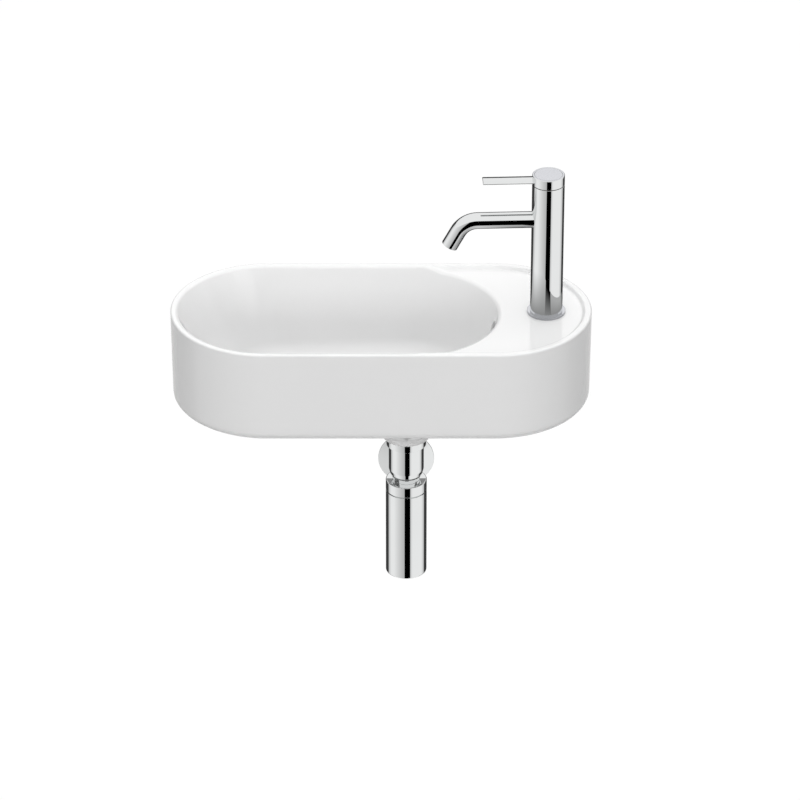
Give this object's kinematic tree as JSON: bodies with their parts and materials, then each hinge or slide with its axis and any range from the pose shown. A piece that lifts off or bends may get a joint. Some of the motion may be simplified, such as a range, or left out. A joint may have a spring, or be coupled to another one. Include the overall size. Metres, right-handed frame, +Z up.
{
  "type": "hand basin",
  "caption": "Wall-hung oval hand basin with a side tap deck, a tall lever tap with a bent spout, a push-plug waste and a chromed bottle trap.",
  "frame": {"origin": "midway between the two wall bolt holes, on the flat back of the basin", "axes": "+X to the user's right along the basin, +Y into the wall, +Z up"},
  "size_m": [0.4998, 0.2702, 0.5412],
  "materials": {
    "glazed_white": "gloss",
    "chrome": "polished",
    "raw_brass": "satin",
    "bright_steel": "satin",
    "black_rubber": "matte",
    "white_plastic": "satin",
    "disc_ceramic": "satin"
  },
  "bodies": {
    "basin_set": {"basin": "glazed_white", "waste_body": "chrome", "waste_backnut": "chrome", "union_nut": "chrome", "inlet_tube": "chrome", "trap_head_nut": "chrome", "trap_body": "chrome", "outlet_nut": "chrome", "outlet_tube": "chrome", "tap_base_ring": "chrome", "tap_column": "chrome", "tap_spout": "chrome", "aerator_ring": "chrome", "tap_tail": "raw_brass", "tap_backnut": "raw_brass", "headwork_bush": "raw_brass", "plug_spring": "bright_steel", "tap_deck_plate": "bright_steel", "waste_gasket": "black_rubber", "waste_washer": "black_rubber", "inlet_washer": "black_rubber", "trap_head_seal": "black_rubber", "outlet_seal": "black_rubber", "tap_base_gasket": "black_rubber", "tap_deck_washer": "black_rubber", "headwork_seal": "black_rubber", "plug_barrel": "white_plastic", "aerator_insert": "white_plastic", "headwork_fixed_disc": "disc_ceramic"},
    "tap_handle": {"handle_cap": "chrome", "handle_lever": "chrome", "handle_top_disc": "chrome", "handle_screw": "bright_steel", "headwork_spindle": "raw_brass", "headwork_spindle_ring": "black_rubber", "headwork_moving_disc": "disc_ceramic"},
    "push_plug": {"plug_cap": "chrome", "plug_seal": "black_rubber", "plug_stem": "bright_steel"},
    "rosette": {"wall_rosette": "chrome"},
    "cleaning_plug_set": {"cleaning_plug": "chrome", "cleaning_plug_ring": "black_rubber"}
  },
  "joints": [
    {"name": "handle_turn", "type": "hinge", "parent": "basin_set", "child": "tap_handle", "pos_m": [0.1958, -0.115, 0.26], "axis": [0, 0, 1], "range_deg": [0, 90]},
    {"name": "plug_slide", "type": "slide", "parent": "basin_set", "child": "push_plug", "axis": [0, 0, 1], "range_m": [0, 0.008], "deforming": ["plug_spring"]},
    {"name": "rosette_slide", "type": "slide", "parent": "basin_set", "child": "rosette", "axis": [0, -1, 0], "range_m": [0, 0.03]},
    {"name": "cleaning_plug_draw", "type": "slide", "parent": "basin_set", "child": "cleaning_plug_set", "axis": [0, 0, -1], "range_m": [0, 0.02]}
  ]
}
